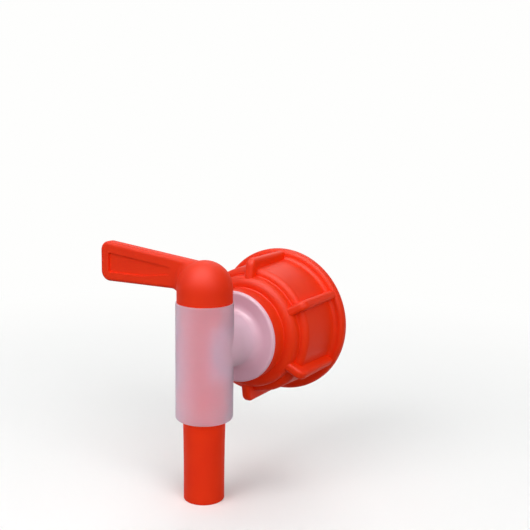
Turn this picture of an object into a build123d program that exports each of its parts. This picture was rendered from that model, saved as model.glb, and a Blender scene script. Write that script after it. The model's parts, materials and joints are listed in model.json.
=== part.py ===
from build123d import *
import math
import os

# A turn-cock tap that screws onto the neck of a liquid can.
# The row's origin is the centre of the washer's rear face, where the can's neck presses.
# +Y runs along the inlet into the can, +Z up the barrel, and the closed lever points to -X.
# All sizes are in millimetres.
os.makedirs("parts", exist_ok=True)

# Neck of the can that the tap fits: a coarse buttress thread, 60 mm across
thread_root_r = 30.2
thread_pitch = 6.0
thread_height = 1.7
thread_crest_w = 1.2
thread_load_run = 0.3
thread_back_run = 1.9
thread_start = 4.0
thread_end_gap = 0.8
thread_rooting = 0.5
pilot_relief = 0.5
pilot_length = 6.0

# Washer that seals on the neck's rim, small enough to pass the thread
washer_clearance = 2.6
washer_width = 5.9
washer_t = 3.0

# Screw cap, turned about the inlet
cap_length = 30.9
cap_web_t = 2.5
cap_collar_wall = 1.4
cap_collar_edge = 0.7
cap_step_t = 2.4
cap_step_depth = 6.4
cap_step_flat = 0.9
cap_skirt_front_t = 2.2
cap_skirt_rear_t = 3.0
cap_shoulder_flat = 0.1
cap_flange_reach = 4.9
cap_flange_t = 4.6
cap_flange_flat = 0.3
cap_mouth_edge = 0.6
cap_valley = 0.6

# Grip ribs round the cap
rib_count = 6
rib_first_angle = 29.0
rib_inset = 0.7
rib_foot_reach = 2.0
rib_foot_setback = 1.2
rib_setback = 3.4
rib_t = 4.8
rib_corner = 4.2
rib_edge = 1.8

# Translucent body: hub, inlet tube and barrel in one moulding
valve_reach = 43.6
neck_flange_t = 3.0
hub_flange_reach = 4.1
hub_length = 12.6
hub_wall = 2.5
rim_reach = 1.4
rim_t = 1.8
rim_edge = 1.5
inlet_r = 13.5
inlet_wall = 2.3
barrel_wall = 2.5
barrel_top = 22.3
barrel_drop = 34.2
barrel_foot_edge = 1.4
barrel_top_edge = 0.3
port_r = 7.5

# Turning plug with its lever and spout in one moulding
stem_r = 11.2
stem_shortfall = 1.0
plug_port_r = 7.0
head_overhang = 2.0
head_height = 6.6
spout_step = 1.05
spout_tip_r = 9.8
spout_length = 40.4
spout_straight = 18.0
spout_wall = 2.1
spout_edge = 0.5

# Snap bead that keeps the plug in the barrel
bead_height = 0.5
bead_width = 2.0
bead_above_mouth = 5.0

# Quarter-turn stop: a key in the barrel's mouth runs in a notch of the plug's collar
stop_collar_reach = 1.1
stop_collar_depth = 2.2
stop_key_angle = 24.0
stop_key_at = 150.0
lever_travel = 90.0
stop_play = 0.6

# Lever blade, its heights counted from the barrel's rim
lever_reach = 60.5
lever_t = 6.6
lever_root_low = 5.1
lever_tip_low = 4.0
lever_root_high = 18.6
lever_tip_high = 24.4
lever_low_corner = 5.0
lever_high_corner = 4.5
lever_edge = 1.8
lever_blend = 4.8
recess_depth = 1.0
recess_root_depth = 0.6
recess_border = 5.2
recess_low_border = 4.6
recess_corner = 0.8
recess_straight = 26.0
recess_rise = 2.0

# Clearances
running_gap = 0.05
cap_gap = 0.08
axial_gap = 0.1
chamber_gap = 0.3
neck_flange_gap = 0.5

# How far a cut or a join runs past its faces, and how near counts as the same place
cut_over = 1.0
same_place = 0.01

# Radii about the inlet's axis, worked out from the thread
washer_r = thread_root_r - thread_height - washer_clearance
chamber_r = washer_r + chamber_gap
neck_flange_r = chamber_r - neck_flange_gap
pilot_r = thread_root_r + pilot_relief
step_r = chamber_r + cap_step_t
skirt_front_r = thread_root_r + cap_skirt_front_t
skirt_rear_r = thread_root_r + cap_skirt_rear_t
cap_flange_r = skirt_rear_r + cap_flange_reach
hub_r = neck_flange_r - hub_flange_reach
hub_hole_r = hub_r + cap_gap
hub_blend = (hub_r - inlet_r) / 2
collar_r = hub_hole_r + cap_collar_wall
cap_step_edge = step_r - collar_r - cap_valley - cap_step_flat
cap_shoulder_edge = skirt_front_r - step_r - cap_valley - cap_shoulder_flat
cap_flange_edge = (cap_flange_reach - cap_flange_flat) / 2

# Radii about the barrel's axis
plug_bore_r = stem_r + running_gap
barrel_r = plug_bore_r + barrel_wall
head_r = stem_r + head_overhang
stop_collar_r = stem_r + stop_collar_reach
counter_r = stop_collar_r + running_gap
spout_root_r = stem_r - spout_step
spout_bore_r = spout_tip_r - spout_wall

# Places along the inlet
flange_back = -washer_t
flange_front = flange_back - neck_flange_t
web_back = flange_front - axial_gap
web_front = web_back - cap_web_t
shoulder_y = web_front + cap_step_depth
hub_front = flange_front - hub_length
rim_back = hub_front + rim_t
collar_front = rim_back + axial_gap

# Places along the barrel
head_bottom = barrel_top + running_gap
dome_centre = barrel_top + head_height
stop_collar_bottom = head_bottom - stop_collar_depth
counter_floor = stop_collar_bottom - axial_gap
stem_bottom = stem_shortfall - barrel_drop
bead_z = bead_above_mouth - barrel_drop
spout_bottom = -barrel_drop - spout_length
barrel_axis = Axis((0, -valve_reach, 0), (0, 0, 1))
barrel_side = Plane.XZ.offset(valve_reach)


def near(sketch, x, y):
    """The corner of a sketch that lies nearest to a point of its plane."""
    return sketch.vertices().sort_by_distance((x, y))[0]


def lever_low(x):
    """Height of the blade's lower edge, x from its tip towards the barrel."""
    return barrel_top + lever_tip_low + (lever_root_low - lever_tip_low) * x / lever_reach


def lever_high(x):
    """Height of the blade's upper edge, x from its tip towards the barrel."""
    return barrel_top + lever_tip_high + (lever_root_high - lever_tip_high) * x / lever_reach


def barrel_plane(angle):
    """A half plane through the barrel's axis: x outwards at that angle, y up."""
    a = math.radians(angle)
    return Plane(
        origin=(0, -valve_reach, 0),
        x_dir=(math.cos(a), math.sin(a), 0),
        z_dir=(math.sin(a), -math.cos(a), 0),
    )


# Washer
with BuildPart() as neck_gasket:
    with BuildSketch(Plane.XZ):
        Circle(washer_r)
        Circle(washer_r - washer_width, mode=Mode.SUBTRACT)
    extrude(amount=washer_t)
neck_gasket.part.label = "neck_gasket"

# Body
with BuildPart() as valve_body:
    # Inlet tube, hub with its snap rim, and neck flange, turned about the inlet
    rim_r = hub_r + rim_reach
    with BuildSketch() as inlet:
        with BuildLine():
            Polyline(
                (0, -valve_reach),
                (inlet_r, -valve_reach),
                (inlet_r, hub_front),
                (rim_r, hub_front),
                (rim_r, rim_back),
                (hub_r, rim_back),
                (hub_r, flange_front),
                (neck_flange_r, flange_front),
                (neck_flange_r, flange_back),
                (0, flange_back),
                close=True,
            )
        make_face()
        fillet(near(inlet, inlet_r, hub_front), hub_blend)
        fillet(near(inlet, rim_r, hub_front), rim_edge)
    revolve(axis=Axis.Y)
    # Hollow behind the hub, and the bore of the inlet tube
    inlet_bore_r = inlet_r - inlet_wall
    cavity_r = hub_r - hub_wall
    cavity_front = hub_front + hub_wall
    with BuildSketch() as cavity:
        with BuildLine():
            Polyline(
                (0, -valve_reach),
                (inlet_bore_r, -valve_reach),
                (inlet_bore_r, cavity_front),
                (cavity_r, cavity_front),
                (cavity_r, flange_back),
                (0, flange_back),
                close=True,
            )
        make_face()
        fillet(near(cavity, inlet_bore_r, cavity_front), hub_blend / 2)
        fillet(near(cavity, cavity_r, cavity_front), rim_edge / 2)
    revolve(axis=Axis.Y, mode=Mode.SUBTRACT)
    # Barrel
    with BuildSketch(barrel_side) as barrel:
        with BuildLine():
            Polyline(
                (0, -barrel_drop),
                (barrel_r, -barrel_drop),
                (barrel_r, barrel_top),
                (0, barrel_top),
                close=True,
            )
        make_face()
        fillet(near(barrel, barrel_r, -barrel_drop), barrel_foot_edge)
        fillet(near(barrel, barrel_r, barrel_top), barrel_top_edge)
    revolve(axis=barrel_axis)
    # Bore, with the groove that the plug's bead snaps into
    groove_r = plug_bore_r + bead_height
    groove_half = bead_width / 2 + axial_gap
    with BuildSketch(barrel_side):
        with BuildLine():
            Polyline(
                (0, -barrel_drop),
                (plug_bore_r, -barrel_drop),
                (plug_bore_r, bead_z - groove_half - bead_height),
                (groove_r, bead_z - groove_half),
                (groove_r, bead_z + groove_half),
                (plug_bore_r, bead_z + groove_half + bead_height),
                (plug_bore_r, barrel_top),
                (0, barrel_top),
                close=True,
            )
        make_face()
    revolve(axis=barrel_axis, mode=Mode.SUBTRACT)
    # Wider mouth for the plug's collar, cut round all but the stop key
    with BuildSketch(barrel_plane(stop_key_at + stop_key_angle / 2)):
        with BuildLine():
            Polyline(
                (plug_bore_r - cut_over, counter_floor),
                (counter_r, counter_floor),
                (counter_r, barrel_top + cut_over),
                (plug_bore_r - cut_over, barrel_top + cut_over),
                close=True,
            )
        make_face()
    revolve(axis=barrel_axis, revolution_arc=360 - stop_key_angle, mode=Mode.SUBTRACT)
    # Port from the inlet into the bore
    with BuildSketch(barrel_side):
        Circle(port_r)
    extrude(amount=-(barrel_r + cut_over), mode=Mode.SUBTRACT)
valve_body.part.label = "valve_body"

# Recess in the lever's side, whose floor comes up towards the dome
recess_run = lever_reach - head_r
recess_end = recess_run - lever_blend
recess_side = Plane(
    origin=(-lever_reach, -valve_reach - lever_t / 2 + recess_depth, 0),
    x_dir=(recess_run, recess_root_depth - recess_depth, 0),
    z_dir=(recess_root_depth - recess_depth, -recess_run, 0),
)
with BuildPart() as recess:
    with BuildSketch(recess_side) as recess_outline:
        with BuildLine():
            Polyline(
                (recess_border, lever_low(recess_border) + recess_low_border),
                (recess_straight, lever_low(recess_straight) + recess_low_border),
                (recess_end, lever_low(recess_end) + recess_low_border + recess_rise),
                (recess_end, lever_high(recess_end) - recess_border),
                (recess_border, lever_high(recess_border) - recess_border),
                close=True,
            )
        make_face()
        fillet(recess_outline.vertices(), recess_corner)
    extrude(amount=2 * recess_depth)

# Lever blade
with BuildPart() as lever:
    with BuildSketch(barrel_side) as blade:
        with BuildLine():
            Polyline(
                (0, barrel_top + lever_root_low),
                (-lever_reach, lever_low(0)),
                (-lever_reach, lever_high(0)),
                (0, barrel_top + lever_root_high),
                close=True,
            )
        make_face()
        fillet(near(blade, -lever_reach, lever_low(0)), lever_low_corner)
        fillet(near(blade, -lever_reach, lever_high(0)), lever_high_corner)
    extrude(amount=lever_t / 2, both=True)
    blade_sides = lever.faces().filter_by(Axis.Y)
    fillet([e for e in blade_sides.edges() if (e @ 0.5).X < -1], lever_edge)

# Plug: head, stem and spout in one piece with the lever
with BuildPart() as spout_plug:
    bead_r = stem_r + bead_height - running_gap
    with BuildSketch(barrel_side) as turned:
        with BuildLine():
            Polyline(
                (0, spout_bottom),
                (spout_tip_r, spout_bottom),
                (spout_tip_r, spout_bottom + spout_straight),
                (spout_root_r, stem_bottom),
                (stem_r, stem_bottom),
                (stem_r, bead_z - bead_width / 2 - bead_height),
                (bead_r, bead_z - bead_width / 2),
                (bead_r, bead_z + bead_width / 2),
                (stem_r, bead_z + bead_width / 2 + bead_height),
                (stem_r, head_bottom),
                (head_r, head_bottom),
                (head_r, dome_centre),
            )
            CenterArc((0, dome_centre), head_r, 0, 90)
            Line((0, dome_centre + head_r), (0, spout_bottom))
        make_face()
        fillet(near(turned, spout_tip_r, spout_bottom), spout_edge)
    revolve(axis=barrel_axis)
    # Lever, blended into the dome and recessed on both sides
    add(lever.part)
    fillet(spout_plug.edges(Select.NEW), lever_blend)
    add(recess.part, mode=Mode.SUBTRACT)
    mirror(recess.part, about=barrel_side, mode=Mode.SUBTRACT)
    # Collar that fills the barrel's mouth, notched for the stop key
    notch_angle = stop_key_angle + lever_travel + 2 * stop_play
    with BuildSketch(barrel_plane(stop_key_at + stop_key_angle / 2 + stop_play)):
        with BuildLine():
            Polyline(
                (stem_r - cut_over, stop_collar_bottom),
                (stop_collar_r, stop_collar_bottom),
                (stop_collar_r, head_bottom + cut_over),
                (stem_r - cut_over, head_bottom + cut_over),
                close=True,
            )
        make_face()
    revolve(axis=barrel_axis, revolution_arc=360 - notch_angle)
    # Bore, open at the spout and rounded inside the dome
    with BuildSketch(barrel_side):
        with BuildLine():
            Polyline((0, spout_bottom), (spout_bore_r, spout_bottom), (spout_bore_r, dome_centre))
            CenterArc((0, dome_centre), spout_bore_r, 0, 90)
            Line((0, dome_centre + spout_bore_r), (0, spout_bottom))
        make_face()
    revolve(axis=barrel_axis, mode=Mode.SUBTRACT)
    # Side port, a quarter turn from the inlet while the lever is closed
    with BuildSketch(Plane(origin=(0, -valve_reach, 0), z_dir=(1, 0, 0))):
        Circle(plug_port_r)
    extrude(amount=barrel_r, mode=Mode.SUBTRACT)
spout_plug.part.label = "spout_plug"

# One grip rib of the cap, standing in the plane of +X and +Y
rim_front = cap_length - cap_flange_t
rib_r = cap_flange_r - rib_inset
rib_front = web_front + rib_setback
rib_back = cap_length - cap_flange_t / 2
rib_foot_r = step_r - rib_foot_reach
rib_foot_y = web_front + rib_foot_setback
rib_neck = (chamber_r + step_r) / 2
rib_root = (thread_root_r + skirt_front_r) / 2
with BuildPart() as rib:
    with BuildSketch() as rib_outline:
        with BuildLine():
            Polyline(
                (rib_foot_r, rib_foot_y),
                (rib_r, rib_front),
                (rib_r, rib_back),
                (rib_root, rib_back),
                (rib_root, shoulder_y + cap_shoulder_edge),
                (rib_neck, shoulder_y + cap_shoulder_edge),
                (rib_neck, web_back),
                close=True,
            )
        make_face()
        fillet(near(rib_outline, rib_r, rib_front), rib_corner)
    extrude(amount=rib_t / 2, both=True)
    side_edges = rib.faces().filter_by(Axis.Z).edges()
    outer_edges = [e for e in side_edges if (e @ 0.5).X > rib_r - same_place]
    front_edges = [
        e
        for e in side_edges
        if (e @ 0.5).X > rib_neck + same_place and (e @ 0.5).Y < rib_front + rib_corner / 2
    ]
    fillet(front_edges + outer_edges, rib_edge)

# Thread ridge inside the cap, swept along a helix about the inlet
ridge_w = thread_load_run + thread_crest_w + thread_back_run
thread_end = cap_length - pilot_length - thread_end_gap - ridge_w
with BuildPart() as thread:
    with BuildLine() as thread_path:
        Helix(
            pitch=thread_pitch,
            height=thread_end - thread_start,
            radius=thread_root_r,
            center=(0, thread_start, 0),
            direction=(0, 1, 0),
        )
    ridge_start = thread_path.line @ 0
    ridge_plane = Plane(
        origin=ridge_start,
        x_dir=(ridge_start.X, 0, ridge_start.Z),
        z_dir=thread_path.line % 0,
    )
    with BuildSketch(ridge_plane):
        with BuildLine():
            Polyline(
                (thread_rooting, 0),
                (-thread_height, -thread_load_run),
                (-thread_height, -thread_load_run - thread_crest_w),
                (thread_rooting, -ridge_w),
                close=True,
            )
        make_face()
    sweep(is_frenet=True)

# Screw cap
with BuildPart() as screw_cap:
    with BuildSketch() as shell:
        with BuildLine():
            Polyline(
                (hub_hole_r, collar_front),
                (collar_r, collar_front),
                (collar_r, web_front),
                (step_r, web_front),
                (step_r, shoulder_y),
                (skirt_front_r, shoulder_y),
                (skirt_rear_r, rim_front),
                (cap_flange_r, rim_front),
                (cap_flange_r, cap_length),
                (pilot_r, cap_length),
                (pilot_r, cap_length - pilot_length),
                (thread_root_r, cap_length - pilot_length),
                (thread_root_r, 0),
                (chamber_r, 0),
                (chamber_r, web_back),
                (hub_hole_r, web_back),
                close=True,
            )
        make_face()
        fillet(near(shell, collar_r, collar_front), cap_collar_edge)
        fillet(near(shell, collar_r, web_front), cap_valley)
        fillet(near(shell, step_r, web_front), cap_step_edge)
        fillet(near(shell, step_r, shoulder_y), cap_valley)
        fillet(near(shell, skirt_front_r, shoulder_y), cap_shoulder_edge)
        fillet(near(shell, skirt_rear_r, rim_front), cap_flange_edge)
        fillet(near(shell, cap_flange_r, rim_front), cap_flange_edge)
        fillet(near(shell, cap_flange_r, cap_length), cap_mouth_edge)
    revolve(axis=Axis.Y)
    # Grip ribs
    for k in range(rib_count):
        add(rib.part, rotation=(0, -(rib_first_angle + k * 360 / rib_count), 0))
    # Thread ridge, steep on the side that pulls and sloped on the side towards the mouth
    add(thread.part)
screw_cap.part.label = "screw_cap"

for piece in (neck_gasket, valve_body, spout_plug, screw_cap):
    export_step(piece.part, f"parts/{piece.part.label}.step")
    print(piece.part.label, round(piece.part.volume), "mm3,", len(piece.part.solids()), "solid")
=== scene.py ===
# %% [markdown]
# # A turn-cock tap
#
# The tap has four pieces. A milky, see-through body carries the liquid, a red plug with a lever
# and a spout turns in it, a red screw cap holds it on a threaded neck, and a soft washer seals
# it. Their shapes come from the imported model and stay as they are. This lesson gives them their
# plastics, puts them on a pale sweep under soft light, and sets up the camera.

# %% Load the frame
import json
import math

import bpy
from mathutils import Matrix, Vector


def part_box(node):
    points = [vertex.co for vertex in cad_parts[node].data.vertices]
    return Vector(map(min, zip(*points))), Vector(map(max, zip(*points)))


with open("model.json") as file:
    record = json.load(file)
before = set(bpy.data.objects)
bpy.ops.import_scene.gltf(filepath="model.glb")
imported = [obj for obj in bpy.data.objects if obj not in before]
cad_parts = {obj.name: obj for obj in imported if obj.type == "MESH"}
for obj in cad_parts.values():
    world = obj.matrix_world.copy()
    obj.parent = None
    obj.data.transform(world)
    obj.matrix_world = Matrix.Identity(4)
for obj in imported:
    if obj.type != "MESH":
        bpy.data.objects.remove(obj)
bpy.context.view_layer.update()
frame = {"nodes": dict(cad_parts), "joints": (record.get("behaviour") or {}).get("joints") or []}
MM = 0.001
bpy.ops.object.select_all(action="DESELECT")
for name in frame["nodes"]:
    low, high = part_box(name)
    print(name, "from", [round(v / MM, 1) for v in low], "to", [round(v / MM, 1) for v in high], "mm")

# %% [markdown]
# ## Where things are
#
# The inlet runs along Y and the barrel along Z. The barrel's axis passes through the middle of the
# plug's spout, so its place is read from the joint that turns the plug. Every later size that
# belongs to the barrel is worked out from it.

# %% Places read from the frame
lever_turn = next(j for j in frame["joints"] if j["name"] == "lever_turn")
barrel_centre = Vector(lever_turn["pos_m"])
floor_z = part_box("spout_plug")[0].z
print("barrel axis at", [round(v / MM, 1) for v in barrel_centre], "mm")
print("floor at", round(floor_z / MM, 1), "mm")


# %% [markdown]
# ## Helpers for materials
#
# Colours are picked as they look on a screen, in sRGB, but a shader works in linear light. One
# function turns a hex colour into linear values. Another adds a node, sets it and links it, so
# that each material below reads as a short list of what its plastic is made of.

# %% Colour and node helpers
def linear(hex_colour):
    """A screen colour such as "#C83C20" as linear red, green, blue and full alpha."""
    channels = [int(hex_colour[i:i + 2], 16) / 255 for i in (1, 3, 5)]
    return tuple(c / 12.92 if c <= 0.04045 else ((c + 0.055) / 1.055) ** 2.4 for c in channels) + (1.0,)


def socket_of(node, name):
    """The open input of a node by its number, or by its name with _ for a space."""
    if isinstance(name, int):
        return node.inputs[name]
    wanted = name.replace("_", " ").lower()
    return next(s for s in node.inputs if s.enabled and s.name.lower() == wanted)


def add_node(owner, kind, links=(), **settings):
    """Adds a node. settings are its properties or input values, links are (output, input)."""
    node = owner.node_tree.nodes.new(kind)
    for key, value in settings.items():
        if hasattr(node, key):
            setattr(node, key, value)
        else:
            socket_of(node, key).default_value = value
    for output, name in links:
        owner.node_tree.links.new(output, socket_of(node, name))
    return node


def new_material(name):
    """An empty node material and its own Object coordinates, on which every pattern here lies."""
    material = bpy.data.materials.new(name)
    material.use_nodes = True
    material.node_tree.nodes.clear()
    return material, add_node(material, "ShaderNodeTexCoord").outputs["Object"]


def give(piece_name, material):
    """Puts a material in every slot of a piece of the frame."""
    slots = frame["nodes"][piece_name].material_slots
    for slot in slots:
        slot.material = material
    print(piece_name, "now has", material.name, "in", len(slots), "slot")


print("mid grey in linear light:", round(linear("#808080")[0], 3))

# %% [markdown]
# ## Thick and thin in the body
#
# The barrel, the inlet tube and the hub are one moulding. The barrel's wall is the thinnest. The
# tube, its root on the barrel and the hub are thicker, so less light gets through them. A shader
# can't measure a wall, and a mask painted by hand would need a map of the surface. Soft steps
# along the moulding's own coordinates do it with four numbers each, and they stay where they are
# when the camera or a joint moves.
# The same steps also place a painted pink light in the milk's colour.

# %% Where the moulding is thick
# Distances behind the barrel's axis: where the wall gets thicker, and where the cap is near
# Over these distances a painted pink light, standing in for red light from the cap and plug, comes into the
# milk's colour
THICKER_FROM = 4 * MM
THICKER_TO = 17 * MM
NEAR_CAP_FROM = 17 * MM
NEAR_CAP_TO = 26 * MM
# The tube's root on the barrel: its radius inside and outside the soft edge, and where it
# comes in along the barrel's side
# At the root the milk also gets the painted pink light, which lightens the barrel's shaded edge beside the
# tube
ROOT_INNER = 10 * MM
ROOT_OUTER = 20 * MM
ROOT_FROM = -11.5 * MM
ROOT_TO = 1 * MM


def milkiness_and_painted_red_light(material, place):
    """How milky the moulding is and how much painted pink light goes into its colour, both 0 in the barrel's
    thin wall.
    """
    parts = add_node(material, "ShaderNodeSeparateXYZ", [(place, "Vector")])
    behind = parts.outputs["Y"]
    across = add_node(
        material, "ShaderNodeCombineXYZ", [(parts.outputs["X"], "X"), (parts.outputs["Z"], "Z")]
    )
    radius = add_node(material, "ShaderNodeVectorMath", [(across.outputs["Vector"], 0)], operation="LENGTH")
    axis_y = barrel_centre.y
    soft = {}
    for part, source, start, end, at_start, at_end in (
        ("tube", behind, axis_y + THICKER_FROM, axis_y + THICKER_TO, 0.0, 1.0),
        ("hub", behind, axis_y + NEAR_CAP_FROM, axis_y + NEAR_CAP_TO, 0.0, 1.0),
        ("side", behind, axis_y + ROOT_FROM, axis_y + ROOT_TO, 0.0, 1.0),
        ("disc", radius.outputs["Value"], ROOT_INNER, ROOT_OUTER, 1.0, 0.0),
    ):
        step = add_node(
            material,
            "ShaderNodeMapRange",
            [(source, "Value")],
            interpolation_type="SMOOTHSTEP",
            from_min=start,
            from_max=end,
            to_min=at_start,
            to_max=at_end,
        )
        soft[part] = step.outputs["Result"]
    root = add_node(material, "ShaderNodeMath", [(soft["disc"], 0), (soft["side"], 1)], operation="MULTIPLY")
    milky = add_node(
        material, "ShaderNodeMath", [(soft["tube"], 0), (root.outputs["Value"], 1)], operation="MAXIMUM"
    )
    # The painted pink light, for red light from the cap and plug: it grows along the tube, is full near the
    # cap, and is full at the tube's root
    both = add_node(material, "ShaderNodeMath", [(soft["tube"], 0), (soft["hub"], 1)], operation="ADD")
    half = add_node(material, "ShaderNodeMapRange", [(both.outputs["Value"], "Value")], from_max=2.0)
    painted_red_light = add_node(
        material,
        "ShaderNodeMath",
        [(half.outputs["Result"], 0), (root.outputs["Value"], 1)],
        operation="MAXIMUM",
    )
    return milky.outputs["Value"], painted_red_light.outputs["Value"]


print("the tube's root fades out", round(ROOT_OUTER / MM), "mm from the inlet's axis")

# %% [markdown]
# ## The milky body
#
# The body is natural polyethylene, that is, the plastic without a pigment. It is made of tiny
# crystals that scatter light, so a wall two or three millimetres thick looks like frosted glass
# in front of the red plug, and turns grey-white where it is seen edge on. A plain pale colour
# would lose the plug, and clear glass would show it too sharply. The shader therefore splits the
# light: one part goes through a rough surface and picks up the red behind it, and the rest
# scatters just under the skin. Less goes through where the moulding is thick. Next to the red cap
# and plug, and at the tube's root, a painted pink light is mixed into the milk's colour. It stands
# in for the red light that the cap and plug throw on it.

# %% Natural polyethylene
POLYETHYLENE_IOR = 1.51
# The share of the light that goes through: in the barrel's wall, and where the moulding is thick
THROUGH_THIN = 0.88
THROUGH_THICK = 0.1
# Clouds in the milk, where the melt cooled faster or slower
CLOUD_SIZE = 9 * MM
# A moulded skin is finer than a tenth of a millimetre. It is drawn coarser, so that it shows
SKIN_GRAIN = 0.45 * MM
GRAIN_DEPTH = 0.05 * MM


def natural_polyethylene():
    """Unpigmented polyethylene, injection moulded: milky, satin, half see-through."""
    material, place = new_material("natural_polyethylene")
    milky, painted_red_light = milkiness_and_painted_red_light(material, place)
    through = add_node(
        material, "ShaderNodeMapRange", [(milky, "Value")], to_min=THROUGH_THIN, to_max=THROUGH_THICK
    )
    cloud = add_node(material, "ShaderNodeTexNoise", [(place, "Vector")], scale=1 / CLOUD_SIZE, detail=3)
    milk = add_node(
        material,
        "ShaderNodeMix",
        [(cloud.outputs["Fac"], "Factor")],
        data_type="RGBA",
        a=linear("#E0D6E4"),
        b=linear("#E6DCEA"),
    )
    # Painted light: a pink mixed into the milk near the cap and at the tube's root, for the red light the cap
    # and plug throw on it
    milk_with_painted_red_light = add_node(
        material,
        "ShaderNodeMix",
        [(painted_red_light, "Factor"), (milk.outputs["Result"], "A")],
        data_type="RGBA",
        b=linear("#ECBACB"),
    )
    skin = add_node(material, "ShaderNodeTexNoise", [(place, "Vector")], scale=1 / SKIN_GRAIN, detail=2)
    bump = add_node(
        material, "ShaderNodeBump", [(skin.outputs["Fac"], "Height")], strength=0.12, distance=GRAIN_DEPTH
    )
    shader = add_node(
        material,
        "ShaderNodeBsdfPrincipled",
        [
            (milk_with_painted_red_light.outputs["Result"], "Base Color"),
            (bump.outputs["Normal"], "Normal"),
            (through.outputs["Result"], "Transmission Weight"),
        ],
        roughness=0.72,
        IOR=POLYETHYLENE_IOR,
        subsurface_weight=0.25,
        subsurface_scale=2 * MM,
        subsurface_radius=(1.0, 1.0, 1.0),
        coat_weight=0.4,
        coat_roughness=0.3,
    )
    add_node(material, "ShaderNodeOutputMaterial", [(shader.outputs["BSDF"], "Surface")])
    return material


give("valve_body", natural_polyethylene())

# %% [markdown]
# ## The red mouldings
#
# The plug and the cap are the same family of plastic with a red pigment. Pigmented polyethylene
# is waxy: its gloss is soft, light goes a little way under the surface, and the tool's spark
# eroded face leaves a very fine grain. One flat red would look like paint, so two close reds are
# mixed by a slow noise, which stands for the way the melt flowed. The cap comes from another tool
# and a slightly more orange batch.

# %% Red polyethylene
FLOW_SIZE = 12 * MM
# The tools' grain is about a tenth of a millimetre. It is drawn coarser, so that it shows
PLUG_GRAIN = 0.35 * MM
CAP_GRAIN = 0.4 * MM


def red_polyethylene(name, deep, bright, roughness, grain_size):
    """Pigmented polyethylene, injection moulded: waxy, softly glossed, with a fine grain."""
    material, place = new_material(name)
    flow = add_node(material, "ShaderNodeTexNoise", [(place, "Vector")], scale=1 / FLOW_SIZE, detail=4)
    red = add_node(
        material,
        "ShaderNodeMix",
        [(flow.outputs["Fac"], "Factor")],
        data_type="RGBA",
        a=linear(deep),
        b=linear(bright),
    )
    grain = add_node(material, "ShaderNodeTexNoise", [(place, "Vector")], scale=1 / grain_size, detail=2)
    bump = add_node(
        material, "ShaderNodeBump", [(grain.outputs["Fac"], "Height")], strength=0.2, distance=GRAIN_DEPTH
    )
    shader = add_node(
        material,
        "ShaderNodeBsdfPrincipled",
        [(red.outputs["Result"], "Base Color"), (bump.outputs["Normal"], "Normal")],
        roughness=roughness,
        IOR=POLYETHYLENE_IOR,
        specular_ior_level=0.15,
        subsurface_weight=0.15,
        subsurface_scale=0.8 * MM,
        subsurface_radius=(1.0, 0.25, 0.15),
    )
    add_node(material, "ShaderNodeOutputMaterial", [(shader.outputs["BSDF"], "Surface")])
    return material


give("spout_plug", red_polyethylene("red_plug_polyethylene", "#E72A00", "#EE3401", 0.56, PLUG_GRAIN))
give("screw_cap", red_polyethylene("red_cap_polyethylene", "#E92C00", "#EF3601", 0.50, CAP_GRAIN))

# %% [markdown]
# ## The washer
#
# The washer is cut with a die from a sheet of soft cellular rubber, so its faces are matt and
# show small closed cells. Real cells in the mesh would be thousands of pits for a piece that
# hides in the cap, so a cell pattern on the washer's own coordinates makes them.

# %% Cellular rubber
CELL_SIZE = 0.5 * MM
CELL_DEPTH = 0.1 * MM


def cellular_rubber():
    """Closed-cell rubber sheet, cut with a die: matt, off-white, with small cells."""
    material, place = new_material("gasket_rubber")
    cells = add_node(material, "ShaderNodeTexVoronoi", [(place, "Vector")], scale=1 / CELL_SIZE)
    shade = add_node(
        material,
        "ShaderNodeMix",
        [(cells.outputs["Distance"], "Factor")],
        data_type="RGBA",
        a=linear("#D8D4CA"),
        b=linear("#EDEAE2"),
    )
    bump = add_node(
        material, "ShaderNodeBump", [(cells.outputs["Distance"], "Height")], strength=0.4, distance=CELL_DEPTH
    )
    shader = add_node(
        material,
        "ShaderNodeBsdfPrincipled",
        [(shade.outputs["Result"], "Base Color"), (bump.outputs["Normal"], "Normal")],
        roughness=0.85,
        IOR=1.5,
    )
    add_node(material, "ShaderNodeOutputMaterial", [(shader.outputs["BSDF"], "Surface")])
    return material


give("neck_gasket", cellular_rubber())

# %% [markdown]
# ## The sweep
#
# A studio sweep is one sheet that runs from the table up the wall in a wide curve, so that no
# corner shows. It starts as a plane whose far edge is pulled up and whose fold is bevelled, which
# is the shortest way to one sheet without a seam.

# %% Pale sweep
SWEEP_WIDTH = 6.0
SWEEP_DEPTH = 5.0
SWEEP_HEIGHT = 3.0
SWEEP_BEND = 1.2
BEND_SEGMENTS = 24
SLACK = 0.01
bpy.ops.mesh.primitive_plane_add(size=1, location=(0, 0, floor_z))
sweep = bpy.context.object
sweep.name = "sweep"
sweep.scale = (SWEEP_WIDTH, SWEEP_DEPTH, 1)
bpy.ops.object.transform_apply(location=True, rotation=True, scale=True)


def select_edges(piece, wanted):
    """Leave only the edges whose two ends both pass the test selected, in edit mode."""
    bpy.ops.object.mode_set(mode="EDIT")
    bpy.ops.mesh.select_mode(type="EDGE")
    bpy.ops.mesh.select_all(action="DESELECT")
    bpy.ops.object.mode_set(mode="OBJECT")
    for edge in piece.data.edges:
        edge.select = all(wanted(piece.data.vertices[i].co) for i in edge.vertices)
    bpy.ops.object.mode_set(mode="EDIT")


far_y = SWEEP_DEPTH / 2 - SLACK
select_edges(sweep, lambda p: p.y > far_y)
bpy.ops.mesh.extrude_region_move(TRANSFORM_OT_translate={"value": (0, 0, SWEEP_HEIGHT)})
bpy.ops.object.mode_set(mode="OBJECT")
select_edges(sweep, lambda p: p.y > far_y and p.z < floor_z + SLACK)
bpy.ops.mesh.bevel(offset=SWEEP_BEND, segments=BEND_SEGMENTS)
bpy.ops.object.mode_set(mode="OBJECT")
bpy.ops.object.shade_smooth()
print("sweep has", len(sweep.data.polygons), "faces")

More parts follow.
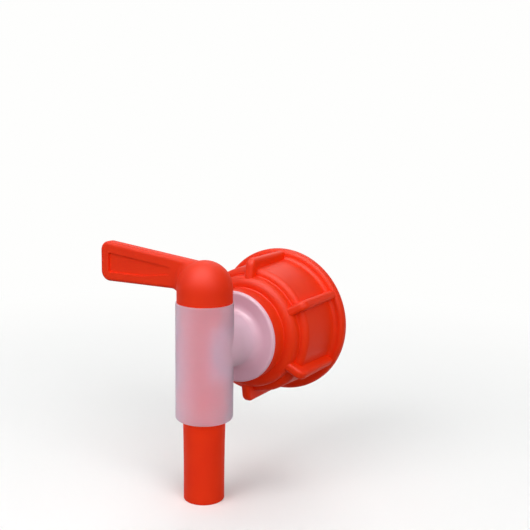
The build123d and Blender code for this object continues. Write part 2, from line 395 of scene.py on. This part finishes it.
# %% [markdown]
# ## White paper that stays kind to the tap
#
# The camera sees the sweep as nearly white paper, but white paper this close would throw a lot of
# light up under the tap and wash out its shaded side. So the paper is darker for the light that
# bounces than for what looks at it, be it the camera, a reflection or a see-through wall. Away
# from the tap, where no shadow falls, it turns to an even white.

# %% Who is looking
LOOKING_RAYS = ("Is Camera Ray", "Is Glossy Ray", "Is Transmission Ray")


def looked_at_by(owner):
    """1 where the camera, a reflection or a see-through wall looks, 0 for light that bounces."""
    path = add_node(owner, "ShaderNodeLightPath")
    looked_at = path.outputs[LOOKING_RAYS[0]]
    for ray in LOOKING_RAYS[1:]:
        links = [(looked_at, 0), (path.outputs[ray], 1)]
        looked_at = add_node(owner, "ShaderNodeMath", links, operation="MAXIMUM").outputs["Value"]
    return looked_at


print("rays that look:", LOOKING_RAYS)

# %% Paper for the sweep
# Distances from the tap: the shadow is kept up to the first, and all is white from the second on
SHADOW_REACH = 0.12
WHITE_FROM = 0.50


def pale_paper():
    """Matt paper: near white when looked at, mid grey to bounced light."""
    material, place = new_material("pale_paper")
    looked_at = looked_at_by(material)
    tone = add_node(
        material,
        "ShaderNodeMix",
        [(looked_at, "Factor")],
        data_type="RGBA",
        a=linear("#747472"),
        b=linear("#FCFCFA"),
    )
    paper = add_node(
        material, "ShaderNodeBsdfPrincipled", [(tone.outputs["Result"], "Base Color")], roughness=0.9
    )
    distance = add_node(material, "ShaderNodeVectorMath", [(place, 0)], operation="DISTANCE")
    distance.inputs[1].default_value = barrel_centre
    far = add_node(
        material,
        "ShaderNodeMapRange",
        [(distance.outputs["Value"], "Value")],
        interpolation_type="SMOOTHSTEP",
        from_min=SHADOW_REACH,
        from_max=WHITE_FROM,
    )
    plain = add_node(
        material, "ShaderNodeMath", [(far.outputs["Result"], 0), (looked_at, 1)], operation="MULTIPLY"
    )
    white = add_node(material, "ShaderNodeEmission")
    white.inputs["Color"].default_value = linear("#FEFEFD")
    mix = add_node(
        material,
        "ShaderNodeMixShader",
        [(plain.outputs["Value"], 0), (paper.outputs["BSDF"], 1), (white.outputs["Emission"], 2)],
    )
    add_node(material, "ShaderNodeOutputMaterial", [(mix.outputs["Shader"], "Surface")])
    return material


sweep.data.materials.append(pale_paper())
print("sweep now has", sweep.active_material.name)

# %% [markdown]
# ## Light
#
# Plastic with a soft gloss is lit like skin: by large lights that make broad, gentle highlights.
# One panel stands in front at the left and one at the right, a weak one hangs overhead, and one
# behind the tap lights its far side. The last one adds gloss alone: it puts the soft haze on the
# dome and doesn't light the plastic. Small lamps would give hard spots and a hard shadow.

# %% Soft studio light
# Each panel: its place and its width in metres, and its power in watts
GLOSS_ONLY = "gloss_panel"
PANELS = {
    "overhead_panel": ((0.05, -0.15, 1.05), 1.1, 1.2),
    "front_left_panel": ((-0.42, -1.26, 0.84), 1.1, 9.6),
    "right_panel": ((1.15, -0.70, 0.70), 1.0, 10.2),
    "back_panel": ((-0.45, 1.10, 1.15), 0.9, 6.0),
    GLOSS_ONLY: ((0.05, -0.40, 0.90), 1.0, 33.0),
}
for name, (place, width, watts) in PANELS.items():
    bpy.ops.object.light_add(type="AREA", location=place)
    panel = bpy.context.object
    panel.name = name
    panel.data.shape = "SQUARE"
    panel.data.size = width
    panel.data.energy = watts
    panel.rotation_euler = (barrel_centre - Vector(place)).to_track_quat("-Z", "Y").to_euler()
    panel.visible_diffuse = name != GLOSS_ONLY
    panel.visible_transmission = name != GLOSS_ONLY
    print(name, "is", round((barrel_centre - Vector(place)).length, 2), "m from the tap")

# %% [markdown]
# ## The room
#
# The rest of the light comes from a pale room that is brighter above than below, as a real one
# is. Like the paper, it is white to whatever looks at it and dimmer as a light, so the white
# background adds nothing to the light on the tap. A picture of a room isn't needed, because
# plastic this dull wouldn't show it.

# %% Pale room
ROOM_STRENGTH = 0.42
ROOM_BRIGHT_FROM = 0.25
world = bpy.data.worlds.new("room")
bpy.context.scene.world = world
world.use_nodes = True
world.node_tree.nodes.clear()
room_way = add_node(world, "ShaderNodeTexCoord").outputs["Generated"]
room_parts = add_node(world, "ShaderNodeSeparateXYZ", [(room_way, "Vector")])
room_tone = add_node(world, "ShaderNodeValToRGB", [(room_parts.outputs["Z"], "Fac")])
room_tone.color_ramp.elements[0].color = linear("#9C9C9C")
room_tone.color_ramp.elements[1].position = ROOM_BRIGHT_FROM
room_tone.color_ramp.elements[1].color = linear("#F4F7FB")
room = add_node(
    world, "ShaderNodeBackground", [(room_tone.outputs["Color"], "Color")], strength=ROOM_STRENGTH
)
bright = add_node(world, "ShaderNodeBackground", strength=1.0)
bright.inputs["Color"].default_value = linear("#FEFEFD")
either = add_node(
    world,
    "ShaderNodeMixShader",
    [(looked_at_by(world), 0), (room.outputs["Background"], 1), (bright.outputs["Background"], 2)],
)
add_node(world, "ShaderNodeOutputWorld", [(either.outputs["Shader"], "Surface")])
print("world is", world.name, "with", len(world.node_tree.nodes), "nodes")

# %% [markdown]
# ## Camera
#
# The tap is seen from its front right and a little from above. The camera's place, its turn about
# the vertical, its tilt and a small roll were matched to the barrel, the spout and the cap's rim.
# Aiming it at a point would be quicker, but three named angles give that view exactly.

# %% Camera
CAMERA_PLACE = Vector((0.2342, -0.3850, 0.1147))
CAMERA_TURN = math.radians(30.59)
CAMERA_DIP = math.radians(10.20)
CAMERA_ROLL = math.radians(0.90)
CAMERA_LENS_MM = 61.5
SENSOR_MM = 36.0
NEAREST = 0.01
bpy.ops.object.camera_add(location=CAMERA_PLACE)
camera = bpy.context.object
aim = (
    Matrix.Rotation(CAMERA_TURN, 4, "Z")
    @ Matrix.Rotation(math.pi / 2 - CAMERA_DIP, 4, "X")
    @ Matrix.Rotation(CAMERA_ROLL, 4, "Z")
)
camera.rotation_euler = aim.to_euler()
camera.data.sensor_width = SENSOR_MM
camera.data.lens = CAMERA_LENS_MM
camera.data.clip_start = NEAREST
bpy.context.scene.camera = camera
bpy.context.scene.view_settings.view_transform = "Standard"
print("camera to barrel:", round((barrel_centre - CAMERA_PLACE).length / MM), "mm")
